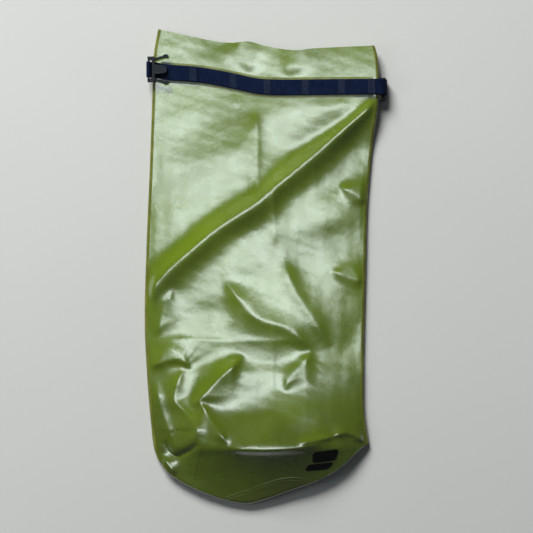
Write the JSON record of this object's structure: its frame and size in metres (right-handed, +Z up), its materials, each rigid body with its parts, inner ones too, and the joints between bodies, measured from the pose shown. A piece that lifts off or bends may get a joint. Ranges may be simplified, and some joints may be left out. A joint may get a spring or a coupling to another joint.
{
  "type": "roll-top dry bag",
  "caption": "Empty flat-lying roll-top dry bag of coated fabric with a round base and a webbing strap whose side-release buckle halves swing.",
  "frame": {"origin": "on the floor under the middle of the bag's box, with the bag lying on its back", "axes": "+Z up, +Y towards the mouth, +X towards the strap's female buckle half"},
  "size_m": [0.3978, 0.7801, 0.0524],
  "materials": {
    "coated_fabric": "satin olive coated fabric",
    "seam_tape": "satin olive tape",
    "webbing": "woven navy webbing",
    "stitching": "pale thread",
    "buckle_plastic": "moulded black plastic",
    "print_black": "blank printed patch"
  },
  "bodies": {
    "bag": {"front_panel": "coated_fabric", "back_panel": "coated_fabric", "base_panel": "coated_fabric", "base_seam_left": "seam_tape", "base_seam_right": "seam_tape", "side_seam_left": "seam_tape", "side_seam_right": "seam_tape", "strap_backing": "seam_tape", "printed_patch": "print_black", "webbing_strap": "webbing", "stitch_block_1": "stitching", "stitch_block_2": "stitching", "stitch_block_3": "stitching", "stitch_block_4": "stitching", "stitch_block_5": "stitching", "stitch_block_6": "stitching"},
    "mouth_flap": {"mouth_front": "coated_fabric", "mouth_back": "coated_fabric", "mouth_hem_front": "seam_tape", "mouth_hem_back": "seam_tape", "mouth_seam_left": "seam_tape", "mouth_seam_right": "seam_tape"},
    "male_half": {"buckle_male_frame": "buckle_plastic"},
    "male_arm_upper": {"buckle_male_arm_upper": "buckle_plastic"},
    "male_arm_lower": {"buckle_male_arm_lower": "buckle_plastic"},
    "female_half": {"buckle_female_body": "buckle_plastic"}
  },
  "joints": [
    {"name": "mouth_fold", "type": "hinge", "parent": "bag", "child": "mouth_flap", "pos_m": [0, 0.34675, 0.0165], "axis": [0.9974, -0.0718, 0], "range_deg": [0, 140]},
    {"name": "male_swing", "type": "hinge", "parent": "bag", "child": "male_half", "pos_m": [-0.1912, 0.3228, 0.017], "axis": [0, -1, 0], "range_deg": [0, 180]},
    {"name": "arm_upper_flex", "type": "hinge", "parent": "male_half", "child": "male_arm_upper", "pos_m": [-0.1804, 0.3393, 0.017], "axis": [0, 0, -1], "range_deg": [0, 10], "stiffness_Nm_per_rad": 0.3},
    {"name": "arm_lower_flex", "type": "hinge", "parent": "male_half", "child": "male_arm_lower", "pos_m": [-0.1804, 0.3063, 0.017], "axis": [0, 0, 1], "range_deg": [0, 10], "stiffness_Nm_per_rad": 0.3},
    {"name": "female_swing", "type": "hinge", "parent": "bag", "child": "female_half", "pos_m": [0.1951, 0.2915, 0.0063], "axis": [0, -1, 0], "range_deg": [0, 175]}
  ]
}
